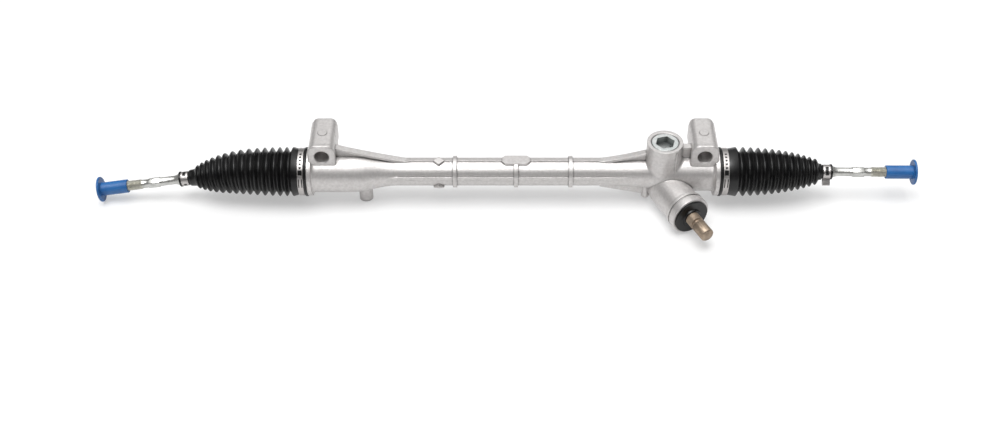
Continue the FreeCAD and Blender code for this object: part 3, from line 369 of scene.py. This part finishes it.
def surface(name, colour, shade, metallic, roughness, spread, grain, bump, cloud=35.0, rounding=0.0,
            painted_shade_reach=0.0, gloss=0.5, depth=0.2 * MM):
    """A cloudy mix of two colours with a spread of roughness, a fine grain, and painted shade that darkens the
    colour in creases and recesses if asked.
    """
    material = bpy.data.materials.new(name)
    material.use_nodes = True
    tree = material.node_tree
    shader = tree.nodes["Principled BSDF"]
    shader.inputs["Metallic"].default_value = metallic
    shader.inputs["Specular IOR Level"].default_value = gloss
    place = tree.nodes.new("ShaderNodeTexCoord").outputs["Object"]
    clouds = shader_noise(tree, place, cloud, CLOUD_DETAIL, CLOUD_ROUGHNESS)
    fine = shader_noise(tree, place, grain, GRAIN_DETAIL)
    tint = shader_mix(tree, shader_range(tree, clouds, 0.0, 1.0), colour, shade)
    # painted shade: the colour darkens towards a dark share of the second colour where ambient occlusion finds
    # surfaces within the reach
    if painted_shade_reach:
        occlusion = tree.nodes.new("ShaderNodeAmbientOcclusion")
        occlusion.samples = PAINTED_SHADE_SAMPLES
        occlusion.inputs["Distance"].default_value = painted_shade_reach
        painted_shade_colour = tuple(value * PAINTED_SHADE_SHARE for value in shade)
        openness = shader_range(tree, occlusion.outputs["AO"], 0.0, 1.0, *PAINTED_SHADE_RANGE)
        tint = shader_mix(tree, openness, painted_shade_colour, tint)
    tree.links.new(tint, shader.inputs["Base Color"])
    polish = shader_range(tree, clouds, roughness - spread, roughness + spread)
    tree.links.new(polish, shader.inputs["Roughness"])
    relief = tree.nodes.new("ShaderNodeBump")
    relief.inputs["Strength"].default_value = bump
    relief.inputs["Distance"].default_value = depth
    tree.links.new(fine, relief.inputs["Height"])
    if rounding:
        edge = tree.nodes.new("ShaderNodeBevel")
        edge.samples = ROUNDING_SAMPLES
        edge.inputs["Radius"].default_value = rounding
        tree.links.new(edge.outputs["Normal"], relief.inputs["Normal"])
    tree.links.new(relief.outputs["Normal"], shader.inputs["Normal"])
    return material


def dress_nodes():
    """Give every carried-over node its finish."""
    for subpart in frame["record"]["subparts"]:
        paint(nodes[subpart["node"]], finishes[subpart["material_slot"]])
        smooth(nodes[subpart["node"]], 35.0)
    paint(nodes["guide_plug"], finishes["passivated_steel"])


def ball_centre(name):
    """The centre of one inner ball joint."""
    return Vector(joints[name + "_rod_lift"]["pos_m"])


def rod_axis(name):
    """The direction of one tie rod, away from its ball."""
    return Vector(joints[name + "_rod_twist"]["axis"]).normalized()


def axis_frame(origin, along):
    """A frame with its X axis along a direction and its Z axis as upright as it can be."""
    across = Vector((0, 0, 1)).cross(along).normalized()
    up = along.cross(across)
    return Matrix.Translation(origin) @ Matrix((along, across, up)).transposed().to_4x4()


def ring(matrix, reach, radius_at, columns):
    """One ring of points about the X axis of a frame, with its radius given for each angle."""
    row = []
    for column in range(columns):
        angle = 2 * math.pi * column / columns
        radius = radius_at(angle)
        row.append(matrix @ Vector((reach, radius * math.cos(angle), radius * math.sin(angle))))
    return row


def boot_frame(name, side, reach):
    """The frame of the boot's middle line at a reach outwards from the ball's centre."""
    centre = ball_centre(name)
    along = rod_axis(name)
    outward = Vector((side, 0, 0))
    span = BOOT_BEND_REACH
    if reach <= -span:
        return axis_frame(centre + outward * reach, outward)
    if reach >= span:
        return axis_frame(centre + along * reach, along)
    hang = outward.angle(along)
    aside = (along - outward * outward.dot(along)).normalized()
    bend = 2 * span / hang
    slope = hang * (reach + span) / (2 * span)
    point = centre + outward * (-span + bend * math.sin(slope)) + aside * bend * (1 - math.cos(slope))
    return axis_frame(point, outward * math.cos(slope) + aside * math.sin(slope))


def outline_stations(reach, radius, steps):
    """The stations of an outline that starts from a reach and a radius."""
    return [(reach + along * MM, radius + rise * MM) for along, rise in steps]


def boot_crests(name, side):
    """The reach, radius and depth of each fold of the boot."""
    first = abs(ball_centre(name).x) - FIRST_FOLD_PLACES[side]
    count = FOLD_COUNTS[side]
    small = BOOT_SMALL_RADII[side]
    crests = []
    for index in range(count):
        share = index / (count - 1)
        spread = share * (1 + (1 - share) * (FOLD_LEADS[side] + FOLD_SKEWS[side] * share))
        place = -first + (LAST_FOLD_REACHES[side] + first) * spread
        crest = small + (BOOT_BIG_RADIUS - small) * (1 - share ** BOOT_TAPER_POWERS[side])
        deep = FOLD_DEPTH + (FOLD_DEPTH_SMALL - FOLD_DEPTH) * share
        crests.append((place, crest, deep))
    return crests


def boot_stations(name, side):
    """The reach and outer radius of each ring of the boot, from the housing to the tie rod."""
    base = abs(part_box(name + "_boot")[1 if side < 0 else 0].x - ball_centre(name).x)
    stations = [
        (-base, BOOT_BIG_RADIUS - LIP_EDGE_DROP),
        (-base + LIP_EDGE_WIDTH, BOOT_BIG_RADIUS),
        (-base + LIP_WIDTH - LIP_EDGE_WIDTH, BOOT_BIG_RADIUS),
        (-base + LIP_WIDTH, BOOT_BIG_RADIUS - LIP_EDGE_DROP),
        (-base + LIP_WIDTH + LIP_STEP, CUFF_RADIUS),
        (-base + LIP_WIDTH + CUFF_WIDTH, CUFF_RADIUS),
    ]
    crests = boot_crests(name, side)
    for (place, crest, deep), (after, next_crest, next_deep) in zip(crests, crests[1:]):
        for step in range(FOLD_STEPS):
            share = step / FOLD_STEPS
            dip = (0.5 - 0.5 * math.cos(2 * math.pi * share)) ** FOLD_POWER
            rim = crest + (next_crest - crest) * share
            depth = deep + (next_deep - deep) * share
            stations.append((place + (after - place) * share, rim - depth * dip))
    place, crest, deep = crests[-1]
    neck = SMALL_BAND_PLACE - LIP_WIDTH
    stations += outline_stations(place, crest, LAST_FOLD_OUTLINE)
    stations.append((place + NECK_SHOULDER_REACH, NECK_CUFF_RADIUS + NECK_SHOULDER_RISE))
    stations += outline_stations(neck, NECK_CUFF_RADIUS, NECK_OUTLINE)
    stations.append((neck + NECK_STEP, SMALL_CUFF_RADIUS))
    stations += outline_stations(GROOVE_END, SMALL_CUFF_RADIUS, SMALL_LIP_OUTLINE)
    return stations


def boot_piece(label, name, side, stations):
    """One closed length of a boot between two of its rings."""
    cuff_end = stations[0][0] + LIP_WIDTH + CUFF_WIDTH
    outer = []
    inner = []
    for reach, radius in stations:
        matrix = boot_frame(name, side, reach)
        hollow = max(radius - BOOT_WALL, GROOVE_RADIUS + BOOT_GAP)
        if reach < cuff_end and radius >= CUFF_RADIUS - CUFF_SLACK:
            hollow = SPIGOT_BORE
        outer.append(ring(matrix, 0.0, lambda angle: radius, BOOT_COLUMNS))
        inner.append(ring(matrix, 0.0, lambda angle: hollow, BOOT_COLUMNS))
    rows = outer + inner[::-1] + [outer[0]]
    return smooth(deck(label, rows, closed=False), 60.0)


def split_stations(stations, cuts):
    """Cut the stations into lengths at the rings nearest to some reaches."""
    marks = [0]
    for cut in cuts:
        marks.append(min(range(len(stations)), key=lambda index: abs(stations[index][0] - cut)))
    marks.append(len(stations) - 1)
    return [stations[first:last + 1] for first, last in zip(marks, marks[1:])]


def make_boot(name, side):
    """The boot in three seamless lengths: the folds, the waist and the end."""
    lengths = split_stations(boot_stations(name, side), (SWING_REACH, LIFT_REACH))
    for index, (part, label) in enumerate(zip(lengths, ("folds", "waist", "end"))):
        piece = boot_piece(name + "_boot_" + label, name, side, part)
        paint(piece, finishes["black_rubber"])
        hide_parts(name + "_boot")
        start = LIP_WIDTH + CUFF_WIDTH if index == 0 else 0.0
        stop = part[-1][0] if index < 2 else LIFT_END
        low = boot_frame(name, side, part[0][0] + start).translation
        high = boot_frame(name, side, stop).translation
        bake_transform(piece)


def band_path(radius, ear_angle, ear_width, ear_height, angles):
    """The band's path round its axis as pairs of angle and point; the ear's points have no angle."""
    half = math.asin(ear_width / 2 / radius)
    start = ear_angle + half + EAR_GAP
    stop = ear_angle + 2 * math.pi - half - EAR_GAP
    marks = sorted(start + (angle - start) % (2 * math.pi) for angle in angles)
    marks = [mark for mark in marks if mark < stop]
    count = round((stop - start) / BAND_STEP)
    for index in range(count + 1):
        mark = start + (stop - start) * index / count
        if all(abs(mark - other) > BAND_LEAST_STEP for other in marks):
            marks.append(mark)
    path = [(mark, Vector((math.cos(mark), math.sin(mark))) * radius) for mark in sorted(marks)]
    out = Vector((math.cos(ear_angle), math.sin(ear_angle)))
    aside = Vector((-out.y, out.x))
    low = radius * math.cos(half)
    for share, rise in EAR_OUTLINE:
        reach = low + (ear_height + radius - low) * rise
        path.append((None, out * reach + aside * share * ear_width / 2))
    return path


def opened_strips(path, index, after, openings):
    """The strips of a band that an opening cuts between two points of its path."""
    if path[index][0] is None or path[after][0] is None:
        return ()
    cut = ()
    middle = math.degrees((path[index][0] + path[after][0]) / 2)
    for low, high, strips in openings:
        if (middle - low) % 360 < high - low:
            cut = strips
    return cut


def make_band(name, body, matrix, radius, width, strips, openings, ear):
    """A sheet steel band round the X axis of a frame, with openings cut in it and a pinched ear."""
    edges = [0.0]
    for strip in strips:
        edges.append(edges[-1] + strip * width / sum(strips))
    angles = [math.radians(angle) for low, high, cut in openings for angle in (low, high)]
    path = band_path(radius, *ear, angles)
    points = [matrix @ Vector((edge, spot.x, spot.y)) for angle, spot in path for edge in edges]
    faces = []
    for index in range(len(path)):
        after = (index + 1) % len(path)
        cut = opened_strips(path, index, after, openings)
        for strip in range(len(strips)):
            if strip not in cut:
                first = index * len(edges) + strip
                second = after * len(edges) + strip
                faces.append((first, second, second + 1, first + 1))
    piece = add_mesh(name + "_sheet", points, faces)
    wall = piece.modifiers.new("wall", "SOLIDIFY")
    wall.thickness = BAND_WALL
    wall.offset = 1.0
    wall.use_even_offset = True
    rounded = piece.modifiers.new("rounded", "BEVEL")
    rounded.width = BAND_ROUNDING
    rounded.segments = 2
    rounded.limit_method = "ANGLE"
    settle(piece)
    smooth(piece, 30.0)
    paint(piece, finishes["band_steel"])
    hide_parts(name)
    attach(piece, body)


def make_bands(name, side):
    """The two steel bands of one boot."""
    low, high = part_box(name + "_big_band")
    half = BIG_BAND_WINDOW_HALF
    windows = tuple((angle - half, angle + half, (2,)) for angle in BIG_BAND_WINDOWS)
    place = Matrix.Translation((low.x, 0, ball_centre(name).z))
    make_band(
        name + "_big_band", "housing", place, CUFF_RADIUS + BAND_GAP, high.x - low.x,
        BIG_BAND_STRIPS, windows + BIG_BAND_OPENINGS, BIG_BAND_EAR,
    )
    place = axis_frame(ball_centre(name), rod_axis(name)) @ Matrix.Translation((SMALL_BAND_PLACE, 0, 0))
    make_band(
        name + "_small_band", name + "_boot_end", place, SMALL_CUFF_RADIUS + BAND_GAP, SMALL_BAND_WIDTH,
        SMALL_BAND_STRIPS, SMALL_BAND_OPENINGS[side], SMALL_BAND_EARS[side],
    )


def serration_cutter():
    """Wedges round the pinion's axis, one for each gap between two serrations."""
    spin = joints["pinion_spin"]
    matrix = axis_frame(Vector(spin["pos_m"]), Vector(spin["axis"]).normalized())
    points = []
    faces = []
    for index in range(SERRATION_COUNT):
        angle = 2 * math.pi * index / SERRATION_COUNT
        out = Vector((0, math.cos(angle), math.sin(angle)))
        aside = Vector((0, -math.sin(angle), math.cos(angle)))
        base = len(points)
        for reach in (SERRATION_START, SERRATION_END):
            along = Vector((reach, 0, 0))
            rim = along + out * (SHAFT_END_RADIUS + SERRATION_CLEARANCE)
            points.append(matrix @ (along + out * (SHAFT_END_RADIUS - SERRATION_DEPTH)))
            points.append(matrix @ (rim - aside * SERRATION_HALF_WIDTH))
            points.append(matrix @ (rim + aside * SERRATION_HALF_WIDTH))
        faces.append((base, base + 1, base + 2))
        faces.append((base + 5, base + 4, base + 3))
        for first, second in ((0, 1), (1, 2), (2, 0)):
            faces.append((base + first, base + 3 + first, base + 3 + second, base + second))
    return add_mesh("cutter", points, faces)


def make_shaft():
    """The pinion shaft with serrations cut along its free end."""
    cutter = serration_cutter()
    piece = add("serrated_shaft", nodes["pinion_shaft"].data.copy())
    cut = piece.modifiers.new("serrations", "BOOLEAN")
    cut.operation = "DIFFERENCE"
    cut.solver = "EXACT"
    cut.object = cutter
    settle(piece)
    bpy.data.objects.remove(cutter)
    smooth(piece, 35.0)
    paint(piece, finishes["bronzed_steel"])
    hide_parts("pinion_shaft")
    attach(piece, "pinion")


def thread_radius(reach, angle):
    """The radius of the rod's thread, which fades in at its start and out at its end."""
    phase = (reach / THREAD_PITCH - angle / (2 * math.pi)) % 1.0
    ridge = 1.0 - abs(2 * phase - 1)
    run_in = min((reach - THREAD_START) / THREAD_RUN_IN, 1.0)
    run_out = min((THREAD_END - reach) / THREAD_RUN_OUT, 1.0)
    root = THREAD_RADIUS - THREAD_DEPTH - THREAD_END_DROP * (1 - run_out)
    return root + THREAD_DEPTH * ridge * max(min(run_in, run_out), 0.0)


def rod_radius(reach, angle):
    """The tie rod's radius at a reach from its ball and an angle round it."""
    if reach < BALL_RADIUS * BALL_END:
        return math.sqrt(max(BALL_RADIUS ** 2 - reach ** 2, LEAST_RADIUS ** 2))
    if reach < NECK_END:
        return NECK_RADIUS
    if reach < TAPER_END:
        share = (reach - NECK_END) / (TAPER_END - NECK_END)
        return NECK_RADIUS + (INNER_SHANK_RADIUS - NECK_RADIUS) * share
    if reach < GROOVE_PLACE:
        return INNER_SHANK_RADIUS
    if reach < GROOVE_END:
        return GROOVE_RADIUS
    if reach < GROOVE_END + FLARE_LENGTH:
        share = (reach - GROOVE_END) / FLARE_LENGTH
        return SHANK_RADIUS + (FLARE_RADIUS - SHANK_RADIUS) * (1 - share) ** FLARE_POWER
    if FLAT_PLACE <= reach <= FLAT_END:
        turn = (angle + math.pi / 6) % (math.pi / 3) - math.pi / 6
        edge = min(reach - FLAT_PLACE, FLAT_END - reach) / FLAT_RUN
        full = FLAT_HALF / math.cos(turn)
        return SHANK_RADIUS + (full - SHANK_RADIUS) * min(max(edge, 0.0), 1.0)
    if reach < THREAD_START:
        return SHANK_RADIUS
    return thread_radius(reach, angle)


def rod_reaches():
    """Where the rings of the tie rod lie, close together where its outline turns."""
    reaches = [-BALL_RADIUS * math.cos(math.pi * index / BALL_STEPS) for index in range(BALL_STEPS)]
    reaches = [reach for reach in reaches if reach < BALL_RADIUS * BALL_LAST_RING]
    reaches += [BALL_RADIUS * NECK_FIRST_RING, NECK_END, TAPER_END]
    reaches += [GROOVE_PLACE - GROOVE_EDGE, GROOVE_PLACE + GROOVE_EDGE]
    reaches += [GROOVE_END - GROOVE_EDGE, GROOVE_END + GROOVE_EDGE]
    reaches += [GROOVE_END + FLARE_LENGTH * index / FLARE_STEPS for index in range(1, FLARE_STEPS + 1)]
    reaches += [FLAT_PLACE + step for step in FLAT_RINGS]
    reaches += [FLAT_END - step for step in reversed(FLAT_RINGS)]
    reaches.append(THREAD_START - THREAD_EDGE)
    span = THREAD_END - THREAD_START
    count = round(span / THREAD_PITCH * THREAD_STEPS)
    reaches += [THREAD_START + span * index / count for index in range(count + 1)]
    return reaches


def make_tie_rod(name):
    """The forged tie rod with its ball, boot groove, flare, spanner flats and rolled thread."""
    matrix = axis_frame(ball_centre(name), rod_axis(name))
    rows = []
    for reach in rod_reaches():
        rows.append(ring(matrix, reach, lambda angle: rod_radius(reach, angle), ROD_COLUMNS))
    piece = smooth(deck(name + "_forged_rod", rows), 45.0)
    piece.data.materials.append(finishes["zinc_steel"])
    piece.data.materials.append(finishes["thread_steel"])
    inverse = matrix.inverted()
    for polygon in piece.data.polygons:
        if (inverse @ polygon.center).x > THREAD_START:
            polygon.material_index = 1
    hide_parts(name + "_tie_rod")
    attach(piece, name + "_tie_rod")


def make_camera():
    """The camera at the photograph's place."""
    rack_height = joints["left_rod_lift"]["pos_m"][2]
    target = Vector((CAMERA_SIDE, 0, rack_height))
    back = Vector((0, -math.cos(CAMERA_ELEVATION), math.sin(CAMERA_ELEVATION)))
    data = bpy.data.cameras.new("camera")
    data.sensor_width = CAMERA_SENSOR
    data.lens = CAMERA_LENS
    data.clip_start, data.clip_end = CAMERA_CLIP
    camera = add("camera", data)
    camera.location = target + back * CAMERA_DISTANCE
    camera.rotation_euler = (math.pi / 2 - CAMERA_ELEVATION - OBJECT_ABOVE_CENTRE, 0, 0)
    bpy.context.scene.camera = camera


def floor_material():
    """A pale matt floor that looks nearly white and still shows a shadow."""
    material = bpy.data.materials.new("floor")
    material.use_nodes = True
    tree = material.node_tree
    shader = tree.nodes["Principled BSDF"]
    shader.inputs["Base Color"].default_value = FLOOR_COLOUR
    shader.inputs["Roughness"].default_value = FLOOR_ROUGHNESS
    glow = tree.nodes.new("ShaderNodeEmission")
    glow.inputs["Color"].default_value = WHITE
    rays = tree.nodes.new("ShaderNodeLightPath")
    seen = tree.nodes.new("ShaderNodeMath")
    seen.operation = "MAXIMUM"
    tree.links.new(rays.outputs["Is Camera Ray"], seen.inputs[0])
    tree.links.new(rays.outputs["Is Glossy Ray"], seen.inputs[1])
    share = tree.nodes.new("ShaderNodeMath")
    share.operation = "MULTIPLY"
    share.inputs[1].default_value = FLOOR_GLOW
    tree.links.new(seen.outputs[0], share.inputs[0])
    mixed = tree.nodes.new("ShaderNodeMixShader")
    tree.links.new(share.outputs[0], mixed.inputs["Fac"])
    tree.links.new(shader.outputs["BSDF"], mixed.inputs[1])
    tree.links.new(glow.outputs["Emission"], mixed.inputs[2])
    tree.links.new(mixed.outputs["Shader"], tree.nodes["Material Output"].inputs["Surface"])
    return material


def make_floor(height):
    """A wide pale floor that shows the object's soft shadow."""
    half = FLOOR_HALF
    corners = [(-half, -half, height), (half, -half, height), (half, half, height), (-half, half, height)]
    floor = add_mesh("floor", corners, [(0, 1, 2, 3)])
    paint(floor, floor_material())


def make_lights():
    """Soft studio light: a world that is bright overhead, a wide high lamp and a weaker one behind."""
    world = bpy.data.worlds.new("studio")
    bpy.context.scene.world = world
    world.use_nodes = True
    tree = world.node_tree
    tree.nodes["Background"].inputs["Color"].default_value = WHITE
    split = tree.nodes.new("ShaderNodeSeparateXYZ")
    tree.links.new(tree.nodes.new("ShaderNodeTexCoord").outputs["Generated"], split.inputs[0])
    strength = shader_range(tree, split.outputs["Z"], *SKY_STRENGTHS, *SKY_HEIGHTS)
    tree.links.new(strength, tree.nodes["Background"].inputs["Strength"])
    for name, place, width, power in LAMPS:
        data = bpy.data.lights.new(name, "SUN")
        data.angle = width
        data.energy = power
        lamp = add(name, data)
        lamp.location = place
        lamp.rotation_euler = (-Vector(place)).to_track_quat("-Z", "Y").to_euler()


finishes = {name: surface(name, **values) for name, values in FINISHES.items()}
make_camera()
dress_nodes()
for name, side in (("left", -1), ("right", 1)):
    make_boot(name, side)
    make_bands(name, side)
    make_tie_rod(name)
make_shaft()
make_floor(cad_box[0][2] - FLOOR_GAP)
make_lights()
bpy.context.scene.view_settings.view_transform = "Standard"
